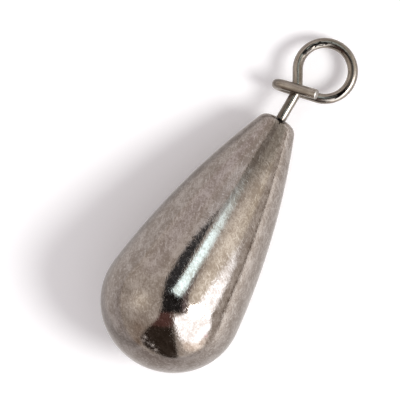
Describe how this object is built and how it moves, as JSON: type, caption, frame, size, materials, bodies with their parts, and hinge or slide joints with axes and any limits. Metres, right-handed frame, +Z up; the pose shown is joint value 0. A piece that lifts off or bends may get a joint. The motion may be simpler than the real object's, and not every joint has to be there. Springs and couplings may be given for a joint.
{
  "type": "fishing sinker",
  "caption": "Teardrop drop-shot sinker of polished heavy metal, with a swivelling one-piece wire eye whose hairpin grips the line.",
  "frame": {"origin": "on the swivel axis, where a line through the eye bears on the inside of the ring when the sinker hangs", "axes": "+Z up along the swivel axis and the line's pull, the eye's ring faces -Y and is offset towards +X"},
  "size_m": [0.0098, 0.0096, 0.026],
  "materials": {
    "tungsten": "polished heavy metal with fine tumbling scuffs, warm grey",
    "wire": "bright drawn spring wire, freshly cut at the end",
    "sleeve": "turned steel",
    "resin": "dark cured resin"
  },
  "bodies": {
    "eye": {"eye_wire": "wire"},
    "weight": {"weight_body": "tungsten", "swivel_sleeve": "sleeve", "bond_film": "resin"}
  },
  "joints": [
    {"name": "eye_swivel", "type": "hinge", "parent": "eye", "child": "weight", "pos_m": [0, 0, -0.00578], "axis": [0, 0, 1], "continuous": true}
  ]
}
